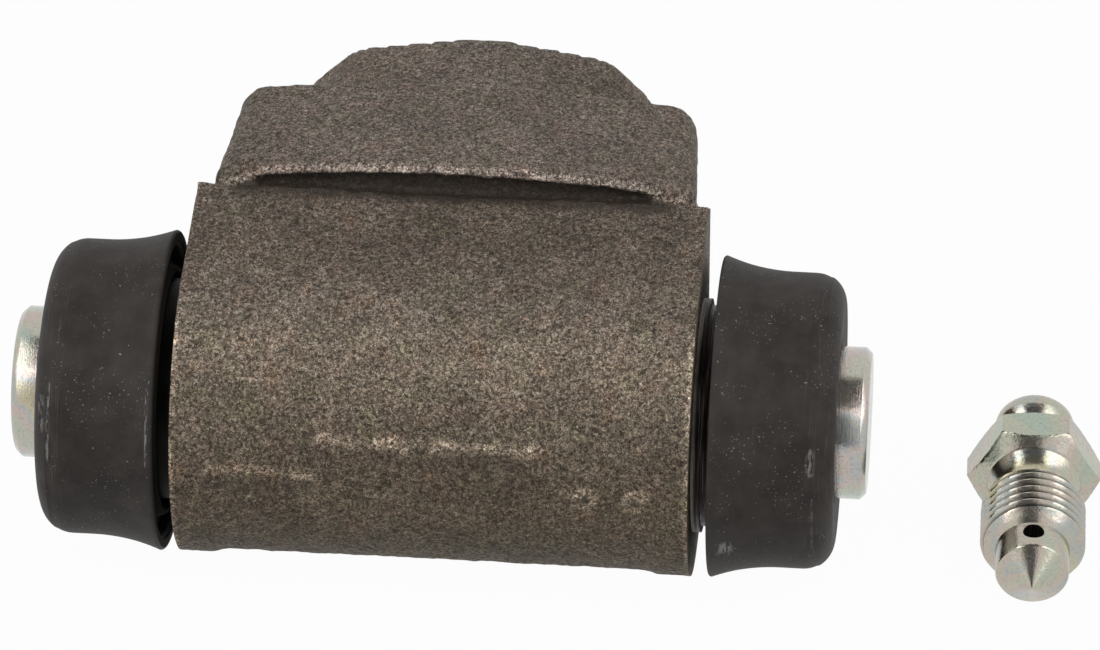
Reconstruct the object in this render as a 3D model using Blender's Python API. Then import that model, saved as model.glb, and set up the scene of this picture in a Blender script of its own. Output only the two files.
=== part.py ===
"""Drum-brake wheel cylinder with two opposed pistons, its bleed screw taken out and lying beside it.

Metres, +Z up. The origin is the middle of the locating boss's end face, level with the bore axis.
+X runs along the bore and +Y out of the boss, towards the brake's backplate.
Pieces are modelled about the bore axis, on an empty that carries them to their place.
"""

import math

import bmesh
import bpy
from mathutils import Matrix, Vector

# Round pieces
SEGMENTS = 48
SMALL_SEGMENTS = 36
INNER_SEGMENTS = 32
HOLE_SEGMENTS = 24
CORNER_STEPS = 6
SHARP_ANGLE = math.radians(32)

# Gaps between pieces, and how far a cutter runs past what it cuts
SEAT_GAP = 0.0003
SLIDING_GAP = 0.00012
CUTTER_OVER = 0.001

# Housing casting: barrel
BODY_LENGTH = 0.0485
BARREL_R = 0.01485
BARREL_STEPS = 32
BARREL_SPANS = 3
LIP_RISE = 0.00035
LIP_WIDTH = 0.0034
LIP_BLEND = 0.0008
END_CHAMFER = 0.0004
BORE_R = 0.0095

# Housing casting: neck behind the barrel, with the groove under the pad's overhanging edge
NECK_PEAK_Y = 0.0094
NECK_PEAK_Z = 0.0171
NECK_PEAK_ROUND = 0.0007
NECK_ROUND_FROM = math.radians(104)
NECK_ROUND_SWEEP = math.radians(102)
NECK_ROUND_STEPS = 3
NECK_GROOVE_DEPTH = 0.0022
NECK_END_DRAFT = 0.00045
NECK_DRAFT_POWER = 4

# Housing casting: mounting pad
PAD_FRONT_Y = 0.0113
PAD_BACK_Y = 0.026
PAD_END_STEP = 0.0014
PAD_SIDE_DRAFT = 0.0009
PAD_FRONT_TOP = 0.0197
PAD_BACK_TOP = 0.0192
PAD_CROWN_DROP = 0.0017
PAD_TOP_PARTS = 16
PAD_CORNER_R = 0.0026
PAD_EDGE = 0.0004
PAD_ROOT = 0.0016

# Rough edge along the pad's front; its section is in shares of how far it is proud and deep
LEDGE_PROUD = 0.0011
LEDGE_DEPTH = 0.0012
LEDGE_PARTS = 16
LEDGE_INTO_CORNER = 0.7
LEDGE_END_ROOT = 0.0018
LEDGE_SECTION = (
    (0.82, 0.0),
    (0.0, 0.08),
    (-0.09, 0.42),
    (0.09, 0.75),
    (0.55, 1.0),
    (2.0, 0.83),
    (2.0, -0.25),
    (1.0, -0.17),
)

# Housing casting: locating boss
BOSS_HEIGHT = 0.009
BOSS_X = 0.0003
BOSS_WIDTH = 0.0354
BOSS_APEX_X = 0.0006
BOSS_APEX_Z = 0.0194
BOSS_APEX_R = 0.012
BOSS_SHOULDER_X = 0.0128
BOSS_SHOULDER_DROP = 0.0021
BOSS_FLANK_DROP = 0.0072
BOSS_CORNER_R = 0.0055
BOSS_CORNER_STEPS = 5
BOSS_CLEAR_OF_BASE = 0.0008
BOSS_EDGE = 0.0006
BOSS_DRAFT = 0.0003
EDGE_BREAK = 0.3

# Ports and bolt holes, all drilled from the boss's end face
PORT_R = 0.0045
PORT_DEPTH = 0.0125
PORT_CHAMFER = 0.0006
PASSAGE_R = 0.00125
BLEED_PORT_Z = 0.0078
INLET_PORT_Z = -0.0070
BOLT_HOLE_R = 0.0025
BOLT_HOLE_DEPTH = 0.0125
BOLT_HOLE_POINT = 0.0015
BOLT_SPACING = 0.0236

# Boot seat turned on each end of the barrel
SEAT_R = 0.011
SEAT_LENGTH = 0.0042
SEAT_ROOT = 0.0016
SEAT_GROOVE_R = 0.0104
SEAT_GROOVE_WIDTH = 0.0022
SEAT_GROOVE_INSET = 0.0006

# Return spring and its end cups
WIRE_R = 0.0004
SPRING_R = 0.00535
SPRING_LENGTH = 0.0178
SPRING_TURNS = 7
SPRING_STEPS = 16
SPRING_CLOSED_PITCH = 0.00088
EXPANDER_WALL = 0.0007
EXPANDER_WALL_ACROSS = 0.00063
EXPANDER_DEPTH = 0.0029
EXPANDER_BASE_R = 0.0065
EXPANDER_RIM_R = 0.00755

# Cup seals
SEAL_WEB = 0.0028
SEAL_LIP_DEPTH = 0.0032
SEAL_BACK_R = 0.0092
SEAL_BACK_EDGE = 0.0004
SEAL_LIP_TAPER = 0.0008
SEAL_LIP_EDGE = 0.0003
SEAL_TO_EXPANDER = 0.00036

# Pistons
PISTON_EDGE = 0.0005
PISTON_TO_BOOT = 0.0029
STUB_R = 0.00715
STUB_PROUD = 0.0027
STUB_CHAMFER = 0.00055
STUB_GROOVE_R = 0.0065
STUB_GROOVE_WIDTH = 0.0018

# Dust boots
BOOT_BODY_GAP = 0.0015
BOOT_LENGTH = 0.01165
BOOT_WALL = 0.0016
BOOT_RIM_R = 0.01515
BOOT_RIM_EDGE = 0.0003
BOOT_BEAD_WIDTH = 0.0026
BOOT_WAIST_R = 0.014
BOOT_RIM_TO_WAIST = 0.0067
BOOT_FLARE_STEPS = 4
BOOT_CORNER_R = 0.0029
BOOT_CORNER_STEPS = 4
BOOT_CORNER_SWEEP = math.radians(82)
BOOT_INNER_CORNER = 0.0013
BOOT_DOME = 0.0003
BOOT_LIP_GAP = 0.0003
BOOT_LIP_CHAMFER = 0.0004

# Bleed screw, measured from its cone's point
SCREW_CONE = 0.0023
SCREW_NOSE_R = 0.00345
SCREW_NOSE_END = 0.0054
SCREW_THREAD_R = 0.00495
SCREW_THREAD_START = 0.0065
SCREW_THREAD_END = 0.0119
SCREW_RUNOUT = 0.0006
SCREW_NECK_R = 0.0042
SCREW_HEX_START = 0.0155
SCREW_HEX_LENGTH = 0.0045
SCREW_HEX_FLATS = 0.011
SCREW_HEX_FACE_R = 0.00534
SCREW_HEX_CHAMFER = math.radians(30)
SCREW_HEX_CLEARANCE = 0.0001
SCREW_WASHER_R = 0.0046
SCREW_WASHER_EDGE = 0.0003
SCREW_NIPPLE_R = 0.003
SCREW_NIPPLE_FILLET = 0.0006
SCREW_BEAD_R = 0.0038
SCREW_BEAD_EDGE = 0.0002
SCREW_BEAD_SLOPE = 0.0008
SCREW_BEAD_START = 0.0225
SCREW_BEAD_END = 0.0249
SCREW_LENGTH = 0.026
SCREW_TIP_FLAT_R = 0.0026
SCREW_BORE_R = 0.0012
SCREW_CROSS_HOLE_R = 0.001
SCREW_CROSS_HOLE_AT = 0.0043

# Where the bleed screw lies, from the bore axis, and how far its point is turned towards +X
SCREW_X = 0.05605
SCREW_POINT_Y = -0.0103
SCREW_YAW = math.radians(1.5)

# Worked out from the sizes above
LIP_R = BARREL_R + LIP_RISE
BASE_Z = -LIP_R
HALF_BODY = BODY_LENGTH / 2
BOSS_FACE_Y = PAD_BACK_Y + BOSS_HEIGHT
PAD_FRONT_WIDTH = BODY_LENGTH - 2 * PAD_END_STEP
PAD_BACK_WIDTH = PAD_FRONT_WIDTH - 2 * PAD_SIDE_DRAFT
BORE_END = HALF_BODY + SEAT_LENGTH
RUNNING_R = BORE_R - SLIDING_GAP
EXPANDER_BASE_X = SPRING_LENGTH / 2 + SEAT_GAP
EXPANDER_BACK_X = EXPANDER_BASE_X + EXPANDER_WALL
SEAL_FLOOR_X = EXPANDER_BACK_X + SEAT_GAP
SEAL_BACK_X = SEAL_FLOOR_X + SEAL_WEB
PISTON_INNER_X = SEAL_BACK_X + SEAT_GAP
BOOT_RIM_X = HALF_BODY + BOOT_BODY_GAP
BOOT_FACE = BOOT_RIM_X + BOOT_LENGTH
BOOT_INNER_FACE = BOOT_FACE - BOOT_WALL
PISTON_SHOULDER_X = BOOT_INNER_FACE - PISTON_TO_BOOT
STUB_TIP = BOOT_FACE + STUB_PROUD
STUB_GROOVE_MID = BOOT_FACE - BOOT_WALL / 2 - BOOT_DOME


# Helpers


def material(name, colour, roughness, metallic):
    made = bpy.data.materials.new(name)
    made.use_nodes = True
    shader = made.node_tree.nodes["Principled BSDF"]
    shader.inputs["Base Color"].default_value = (*colour, 1.0)
    shader.inputs["Roughness"].default_value = roughness
    shader.inputs["Metallic"].default_value = metallic
    return made


def add_object(name, bm, look, carrier):
    """An object in the scene from a finished bmesh, smooth apart from its real edges."""
    bmesh.ops.recalc_face_normals(bm, faces=bm.faces)
    mesh = bpy.data.meshes.new(name)
    bm.to_mesh(mesh)
    bm.free()
    mesh.shade_smooth()
    mesh.set_sharp_from_angle(angle=SHARP_ANGLE)
    if look:
        mesh.materials.append(look)
    made = bpy.data.objects.new(name, mesh)
    bpy.context.scene.collection.objects.link(made)
    made.parent = carrier
    return made


def turned(profile, segments=SEGMENTS):
    """A closed solid of revolution about X from a closed profile of (x, radius)."""
    bm = bmesh.new()
    points = [bm.verts.new((x, 0.0, r)) for x, r in profile]
    solid_core = profile[0][1] == profile[-1][1] == 0.0
    ends = points if solid_core else points + points[:1]
    edges = [bm.edges.new((a, b)) for a, b in zip(ends, ends[1:])]
    axis = Vector((1, 0, 0))
    bmesh.ops.spin(
        bm, geom=points + edges, cent=(0, 0, 0), axis=axis, angle=math.tau, steps=segments, use_merge=True
    )
    bmesh.ops.remove_doubles(bm, verts=bm.verts, dist=1e-7)
    return bm


def lofted(sections):
    """A closed solid through loops that all have the same number of points."""
    bm = bmesh.new()
    loops = [[bm.verts.new(p) for p in section] for section in sections]
    for near, far in zip(loops, loops[1:]):
        for i in range(len(near)):
            j = (i + 1) % len(near)
            bm.faces.new((near[i], near[j], far[j], far[i]))
    bm.faces.new(loops[0])
    bm.faces.new(list(reversed(loops[-1])))
    return bm


def rounded(corners, steps):
    """A closed outline from (x, z, radius) corners, each rounded by an arc of its radius."""
    outline = []
    for i, (x, z, radius) in enumerate(corners):
        here = Vector((x, z))
        before = Vector(corners[i - 1][:2]) - here
        after = Vector(corners[(i + 1) % len(corners)][:2]) - here
        half = before.angle(after) / 2
        centre = here + (before.normalized() + after.normalized()).normalized() * radius / math.sin(half)
        start = here + before.normalized() * radius / math.tan(half) - centre
        end = here + after.normalized() * radius / math.tan(half) - centre
        sweep = start.angle_signed(end)
        for k in range(steps + 1):
            turn = Matrix.Rotation(-sweep * k / steps, 2)
            outline.append(centre + turn @ start)
    return outline


def shrunk(outline, by, middle):
    """The outline pulled towards its middle by about one distance all round."""
    pulled = []
    for point in outline:
        spoke = point - middle
        pulled.append(middle + spoke * (1 - by / spoke.length))
    return pulled


def combine(target, other, operation):
    """Adds a helper solid to a piece's Boolean stack and keeps it out of the model."""
    other.hide_render = True
    other.display_type = "WIRE"
    step = target.modifiers.new(f"{operation.lower()} {other.name}", "BOOLEAN")
    step.operation = operation
    step.solver = "EXACT"
    step.object = other


# Housing


def barrel_section(x, radius):
    """Barrel, flat underside and rising neck with its groove, as one outline; the neck's ends are drafted."""
    peak = Vector((NECK_PEAK_Y, NECK_PEAK_Z))
    back_y = PAD_FRONT_Y + PAD_ROOT
    groove = Vector((PAD_FRONT_Y, peak.y - NECK_GROOVE_DEPTH))
    tangent = math.atan2(peak.y, peak.x) + math.acos(radius / peak.length)
    points = [Vector((back_y, -radius))]
    start = math.radians(270)
    for k in range(BARREL_STEPS + 1):
        angle = start + (tangent - start) * k / BARREL_STEPS
        points.append(Vector((math.cos(angle), math.sin(angle))) * radius)
    for k in range(NECK_ROUND_STEPS + 1):
        turn = NECK_ROUND_FROM - NECK_ROUND_SWEEP * k / NECK_ROUND_STEPS
        round_centre = peak - Vector((0, NECK_PEAK_ROUND))
        points.append(round_centre + Vector((math.cos(turn), math.sin(turn))) * NECK_PEAK_ROUND)
    points.append(groove)
    points.append(Vector((back_y, groove.y)))
    rising = [max(0.0, p.y) / NECK_PEAK_Z for p in points]
    draft = NECK_END_DRAFT * x / HALF_BODY
    return [(x - draft * share**NECK_DRAFT_POWER, p.x, p.y) for p, share in zip(points, rising)]


def barrel_block():
    stations = [(HALF_BODY, LIP_R - END_CHAMFER), (HALF_BODY - END_CHAMFER, LIP_R)]
    stations += [(HALF_BODY - LIP_WIDTH, LIP_R), (HALF_BODY - LIP_WIDTH - LIP_BLEND, BARREL_R)]
    middle = HALF_BODY - LIP_WIDTH - LIP_BLEND
    inwards = stations + [(middle * k / BARREL_SPANS, BARREL_R) for k in range(BARREL_SPANS - 1, 0, -1)]
    left = [(-x, radius) for x, radius in inwards]
    along = left + [(0.0, BARREL_R)] + inwards[::-1]
    return lofted([barrel_section(x, radius) for x, radius in along])


def pad_crown(x):
    """How far the pad's crowned top lies below its middle at this x."""
    return PAD_CROWN_DROP * (x / HALF_BODY) ** 2


def pad_outline(y, inset=0.0):
    """The pad's (x, z) outline at this y: crowned top, drafted sides and a flat underside."""
    share = (y - PAD_FRONT_Y) / (PAD_BACK_Y - PAD_FRONT_Y)
    half = (PAD_FRONT_WIDTH + (PAD_BACK_WIDTH - PAD_FRONT_WIDTH) * share) / 2 - inset
    top = PAD_FRONT_TOP + (PAD_BACK_TOP - PAD_FRONT_TOP) * share - inset
    base = BASE_Z + inset
    corners = [(-half, base, PAD_CORNER_R), (-half, top, PAD_CORNER_R)]
    corners += [(half, top, PAD_CORNER_R), (half, base, PAD_CORNER_R)]
    outline = rounded(corners, CORNER_STEPS)
    left_side = 2 * (CORNER_STEPS + 1)
    straight = half - PAD_CORNER_R - PAD_SIDE_DRAFT
    across = [half * (2 * k / PAD_TOP_PARTS - 1) for k in range(1, PAD_TOP_PARTS)]
    across = [Vector((x, top)) for x in across if abs(x) < straight]
    outline = outline[:left_side] + across + outline[left_side:]
    return [(p.x, y, p.y - (pad_crown(p.x) if p.y > 0 else 0)) for p in outline]


def pad_block():
    sections = [pad_outline(PAD_FRONT_Y), pad_outline(PAD_BACK_Y - PAD_EDGE)]
    sections.append(pad_outline(PAD_BACK_Y - PAD_EDGE * EDGE_BREAK, PAD_EDGE * EDGE_BREAK))
    sections.append(pad_outline(PAD_BACK_Y, PAD_EDGE))
    return lofted(sections)


def pad_ledge():
    """The rough edge that overhangs the neck along the pad's front, rooted in the neck at its ends."""
    half = PAD_FRONT_WIDTH / 2 - PAD_CORNER_R * (1 - LEDGE_INTO_CORNER)
    sections = []
    for k in range(LEDGE_PARTS + 1):
        x = half * (2 * k / LEDGE_PARTS - 1)
        into_corner = max(0.0, abs(x) - (PAD_FRONT_WIDTH / 2 - PAD_CORNER_R))
        corner_drop = PAD_CORNER_R - math.sqrt(PAD_CORNER_R**2 - into_corner**2)
        low = PAD_FRONT_TOP - pad_crown(x) - corner_drop - LEDGE_DEPTH
        root = LEDGE_END_ROOT * into_corner / (PAD_CORNER_R * LEDGE_INTO_CORNER)
        section = []
        for out, up in LEDGE_SECTION:
            z = low + LEDGE_DEPTH * up - (root if up < 0 else 0)
            section.append((x, PAD_FRONT_Y - LEDGE_PROUD * (1 - out), z))
        sections.append(section)
    return lofted(sections)


def boss_outline(y, inset):
    """The boss's (x, z) outline: a low peak over sloping shoulders, the same below."""
    half = BOSS_WIDTH / 2
    low = BASE_Z + BOSS_CLEAR_OF_BASE
    top_shoulder = BOSS_APEX_Z - BOSS_SHOULDER_DROP
    low_shoulder = low + BOSS_SHOULDER_DROP
    top_flank = BOSS_APEX_Z - BOSS_FLANK_DROP
    low_flank = low + BOSS_FLANK_DROP
    corners = [(BOSS_APEX_X, low, BOSS_APEX_R), (-BOSS_SHOULDER_X, low_shoulder, BOSS_CORNER_R)]
    corners += [(-half, low_flank, BOSS_CORNER_R), (-half, top_flank, BOSS_CORNER_R)]
    corners += [(-BOSS_SHOULDER_X, top_shoulder, BOSS_CORNER_R), (BOSS_APEX_X, BOSS_APEX_Z, BOSS_APEX_R)]
    corners += [(BOSS_SHOULDER_X, top_shoulder, BOSS_CORNER_R), (half, top_flank, BOSS_CORNER_R)]
    corners += [(half, low_flank, BOSS_CORNER_R), (BOSS_SHOULDER_X, low_shoulder, BOSS_CORNER_R)]
    middle = Vector((0, (BOSS_APEX_Z + low) / 2))
    return [(p.x + BOSS_X, y, p.y) for p in shrunk(rounded(corners, BOSS_CORNER_STEPS), inset, middle)]


def boss_block():
    root_y = (PAD_FRONT_Y + PAD_BACK_Y) / 2
    sections = [boss_outline(root_y, 0.0), boss_outline(BOSS_FACE_Y - BOSS_EDGE, BOSS_DRAFT)]
    turn = BOSS_EDGE * EDGE_BREAK
    sections.append(boss_outline(BOSS_FACE_Y - turn, BOSS_DRAFT + turn))
    sections.append(boss_outline(BOSS_FACE_Y, BOSS_DRAFT + BOSS_EDGE))
    return lofted(sections)


def seat_ring():
    """The turned seats at both ends, each with a groove for the boot's bead."""
    root = HALF_BODY - SEAT_ROOT
    near = HALF_BODY + SEAT_GROOVE_INSET
    far = near + SEAT_GROOVE_WIDTH
    half = [(root, SEAT_R), (near, SEAT_R), (near, SEAT_GROOVE_R), (far, SEAT_GROOVE_R)]
    half += [(far, SEAT_R), (BORE_END - END_CHAMFER, SEAT_R), (BORE_END, SEAT_R - END_CHAMFER)]
    mirrored = [(-x, r) for x, r in reversed(half)]
    return turned([(-BORE_END, 0.0)] + mirrored + half + [(BORE_END, 0.0)])


def drilled(x, z, profile):
    """A cutter turned about +Y, with its profile's distances measured in from the boss's end face."""
    bm = turned([(BOSS_FACE_Y - depth, r) for depth, r in profile], HOLE_SEGMENTS)
    bmesh.ops.rotate(bm, verts=bm.verts, cent=(0, 0, 0), matrix=Matrix.Rotation(math.radians(90), 3, "Z"))
    bmesh.ops.translate(bm, verts=bm.verts, vec=(x, 0, z))
    return bm


def port_profile():
    """A port with a chamfered mouth and a conical seat, and the passage on to the bore."""
    mouth_r = PORT_R + PORT_CHAMFER
    seat_end = PORT_DEPTH + PORT_R - PASSAGE_R
    profile = [(-CUTTER_OVER, 0.0), (-CUTTER_OVER, mouth_r), (0.0, mouth_r), (PORT_CHAMFER, PORT_R)]
    profile += [(PORT_DEPTH, PORT_R), (seat_end, PASSAGE_R)]
    return profile + [(BOSS_FACE_Y, PASSAGE_R), (BOSS_FACE_Y, 0.0)]


def bolt_profile():
    profile = [(-CUTTER_OVER, 0.0), (-CUTTER_OVER, BOLT_HOLE_R), (BOLT_HOLE_DEPTH, BOLT_HOLE_R)]
    return profile + [(BOLT_HOLE_DEPTH + BOLT_HOLE_POINT, 0.0)]


def make_housing(look, carrier):
    """The casting, then its holes; the bore is cut last, through the passages' inner ends."""
    housing = add_object("housing", barrel_block(), look, carrier)
    helpers = [("pad", pad_block(), "UNION"), ("pad_ledge", pad_ledge(), "UNION")]
    helpers += [("boss", boss_block(), "UNION"), ("boot_seats", seat_ring(), "UNION")]
    for name, z in (("bleed_port", BLEED_PORT_Z), ("inlet_port", INLET_PORT_Z)):
        helpers.append((name, drilled(0.0, z, port_profile()), "DIFFERENCE"))
    bolt_z = (BOSS_APEX_Z + BASE_Z + BOSS_CLEAR_OF_BASE) / 2
    for name, side in (("left_bolt_hole", -1), ("right_bolt_hole", 1)):
        hole = drilled(side * BOLT_SPACING / 2, bolt_z, bolt_profile())
        helpers.append((name, hole, "DIFFERENCE"))
    end = BORE_END + CUTTER_OVER
    bore = [(-end, 0.0), (-end, BORE_R), (end, BORE_R), (end, 0.0)]
    helpers.append(("bore", turned(bore), "DIFFERENCE"))
    for name, bm, operation in helpers:
        combine(housing, add_object(f"{name}_helper", bm, None, carrier), operation)


# Inner pieces


def make_spring(look, carrier):
    """A closed-end compression coil on the bore axis."""
    curve = bpy.data.curves.new("return_spring", "CURVE")
    curve.dimensions = "3D"
    curve.bevel_depth = WIRE_R
    curve.bevel_resolution = 1
    curve.use_fill_caps = True
    count = SPRING_TURNS * SPRING_STEPS + 1
    spline = curve.splines.new("POLY")
    spline.points.add(count - 1)
    reach = SPRING_LENGTH / 2 - WIRE_R
    closed = 1 / SPRING_TURNS
    open_reach = reach - SPRING_CLOSED_PITCH
    for k, point in enumerate(spline.points):
        share = k / (count - 1)
        if share < closed:
            x = -reach + SPRING_CLOSED_PITCH * share / closed
        elif share > 1 - closed:
            x = reach - SPRING_CLOSED_PITCH * (1 - share) / closed
        else:
            x = open_reach * (2 * (share - closed) / (1 - 2 * closed) - 1)
        angle = math.tau * k / SPRING_STEPS
        point.co = (x, SPRING_R * math.cos(angle), SPRING_R * math.sin(angle), 1.0)
    curve.materials.append(look)
    spring = bpy.data.objects.new("return_spring", curve)
    bpy.context.scene.collection.objects.link(spring)
    spring.parent = carrier


def expander_profile():
    """A pressed cup: flat base on the seal, cone opening towards the spring."""
    rim_x = EXPANDER_BACK_X - EXPANDER_DEPTH
    profile = [(EXPANDER_BACK_X, 0.0), (EXPANDER_BACK_X, EXPANDER_BASE_R), (rim_x, EXPANDER_RIM_R)]
    profile += [(rim_x, EXPANDER_RIM_R - EXPANDER_WALL_ACROSS)]
    return profile + [(EXPANDER_BASE_X, EXPANDER_BASE_R - EXPANDER_WALL_ACROSS), (EXPANDER_BASE_X, 0.0)]


def seal_profile():
    """A rubber cup whose lip opens towards the middle of the bore."""
    lip_x = SEAL_FLOOR_X - SEAL_LIP_DEPTH
    slope = (EXPANDER_RIM_R - EXPANDER_BASE_R) / EXPANDER_DEPTH
    floor_r = EXPANDER_BASE_R + SEAL_TO_EXPANDER
    profile = [(SEAL_BACK_X, 0.0), (SEAL_BACK_X, SEAL_BACK_R - SEAL_BACK_EDGE)]
    profile += [(SEAL_BACK_X - SEAL_BACK_EDGE, SEAL_BACK_R), (lip_x + SEAL_LIP_TAPER, RUNNING_R)]
    profile += [(lip_x, RUNNING_R - SEAL_LIP_EDGE), (lip_x, floor_r + slope * SEAL_LIP_DEPTH)]
    return profile + [(SEAL_FLOOR_X, floor_r), (SEAL_FLOOR_X, 0.0)]


def piston_profile():
    """The piston in the bore, its stub, and the groove that the boot's inner lip grips."""
    groove_in = STUB_GROOVE_MID - STUB_GROOVE_WIDTH / 2
    groove_out = STUB_GROOVE_MID + STUB_GROOVE_WIDTH / 2
    profile = [(PISTON_INNER_X, 0.0), (PISTON_INNER_X, RUNNING_R - PISTON_EDGE)]
    profile += [(PISTON_INNER_X + PISTON_EDGE, RUNNING_R), (PISTON_SHOULDER_X - PISTON_EDGE, RUNNING_R)]
    profile += [(PISTON_SHOULDER_X, RUNNING_R - PISTON_EDGE), (PISTON_SHOULDER_X, STUB_R)]
    profile += [(groove_in, STUB_R), (groove_in, STUB_GROOVE_R), (groove_out, STUB_GROOVE_R)]
    profile += [(groove_out, STUB_R), (STUB_TIP - STUB_CHAMFER, STUB_R), (STUB_TIP, STUB_R - STUB_CHAMFER)]
    return profile + [(STUB_TIP, 0.0)]


def boot_profile():
    """The boot's wall: bead on the seat, flared rim, waisted side, rounded corner and flat face."""
    bead_r = SEAT_R + BOOT_LIP_GAP
    lip_r = STUB_GROOVE_R + BOOT_LIP_GAP
    mouth_r = STUB_R + BOOT_LIP_GAP
    bead_end = BOOT_RIM_X + BOOT_BEAD_WIDTH
    flare_x = BOOT_RIM_X + BOOT_RIM_EDGE
    waist_x = BOOT_RIM_X + BOOT_RIM_TO_WAIST
    profile = [(BOOT_RIM_X, bead_r), (BOOT_RIM_X, BOOT_RIM_R - BOOT_RIM_EDGE)]
    for k in range(BOOT_FLARE_STEPS + 1):
        share = k / BOOT_FLARE_STEPS
        x = flare_x + (waist_x - flare_x) * share
        profile.append((x, BOOT_WAIST_R + (BOOT_RIM_R - BOOT_WAIST_R) * (1 - share) ** 2))
    corner = Vector((BOOT_FACE - BOOT_CORNER_R, BOOT_WAIST_R - BOOT_CORNER_R))
    for k in range(BOOT_CORNER_STEPS + 1):
        angle = math.radians(90) - BOOT_CORNER_SWEEP * k / BOOT_CORNER_STEPS
        profile.append((corner.x + BOOT_CORNER_R * math.cos(angle), corner.y + BOOT_CORNER_R * math.sin(angle)))
    outer_face = BOOT_FACE - BOOT_DOME
    inner_face = BOOT_INNER_FACE - BOOT_DOME
    profile += [(outer_face, mouth_r + BOOT_LIP_CHAMFER), (outer_face - BOOT_LIP_CHAMFER, lip_r)]
    profile += [(inner_face + BOOT_LIP_CHAMFER, lip_r), (inner_face, mouth_r)]
    inner_r = BOOT_WAIST_R - BOOT_WALL
    profile += [(BOOT_INNER_FACE, inner_r - BOOT_INNER_CORNER), (BOOT_INNER_FACE - BOOT_INNER_CORNER, inner_r)]
    return profile + [(bead_end + inner_r - bead_r, inner_r), (bead_end, bead_r)]


def mirrored_pair(name, profile, look, carriers, segments=SEGMENTS):
    """The right piece from a profile on +X, and the left one as its mirror image."""
    for side, carrier in zip((-1, 1), carriers):
        bm = turned([(side * x, r) for x, r in profile], segments)
        add_object(("left_" if side < 0 else "right_") + name, bm, look, carrier)


# Bleed screw


def screw_profile():
    """The screw without its hexagon, from the sealing cone to the hose nipple's bead."""
    waist = (SCREW_HEX_START + SCREW_THREAD_END) / 2
    hex_end = SCREW_HEX_START + SCREW_HEX_LENGTH
    bead_middle = (SCREW_BEAD_START + SCREW_BEAD_END) / 2
    bead_edge_r = SCREW_BEAD_R - SCREW_BEAD_EDGE
    profile = [(0.0, 0.0), (SCREW_CONE, SCREW_NOSE_R), (SCREW_NOSE_END, SCREW_NOSE_R)]
    profile += [(SCREW_THREAD_START, SCREW_THREAD_R), (SCREW_THREAD_END, SCREW_THREAD_R)]
    profile += [(SCREW_THREAD_END + SCREW_RUNOUT, SCREW_NECK_R), (waist, SCREW_NECK_R)]
    profile += [(SCREW_HEX_START - SCREW_WASHER_EDGE, SCREW_WASHER_R)]
    profile += [(SCREW_HEX_START + SCREW_WASHER_EDGE, SCREW_WASHER_R)]
    profile += [(hex_end - SCREW_NIPPLE_FILLET, SCREW_NIPPLE_R + SCREW_NIPPLE_FILLET)]
    profile += [(hex_end + SCREW_NIPPLE_FILLET, SCREW_NIPPLE_R)]
    profile += [(SCREW_BEAD_START - SCREW_BEAD_SLOPE, SCREW_NIPPLE_R), (SCREW_BEAD_START, bead_edge_r)]
    profile += [(bead_middle, SCREW_BEAD_R), (SCREW_BEAD_END, bead_edge_r)]
    return profile + [(SCREW_LENGTH, SCREW_TIP_FLAT_R), (SCREW_LENGTH, 0.0)]


def hexagon():
    """A six-sided bar with a flat on top and another underneath."""
    corner_r = SCREW_HEX_FLATS / 2 / math.cos(math.radians(30))
    ends = (SCREW_HEX_START, SCREW_HEX_START + SCREW_HEX_LENGTH)
    angles = [math.radians(60 * k) for k in range(6)]
    return lofted([[(x, corner_r * math.cos(a), corner_r * math.sin(a)) for a in angles] for x in ends])


def hexagon_chamfer():
    """The turned form that takes the hexagon's corners off at both faces."""
    corner_r = SCREW_HEX_FLATS / 2 / math.cos(math.radians(30)) + SCREW_HEX_CLEARANCE
    near = SCREW_HEX_START - SCREW_HEX_CLEARANCE
    far = SCREW_HEX_START + SCREW_HEX_LENGTH + SCREW_HEX_CLEARANCE
    run = (corner_r - SCREW_HEX_FACE_R) * math.tan(SCREW_HEX_CHAMFER)
    profile = [(near, 0.0), (near, SCREW_HEX_FACE_R), (near + run, corner_r)]
    return turned(profile + [(far - run, corner_r), (far, SCREW_HEX_FACE_R), (far, 0.0)])


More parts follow.
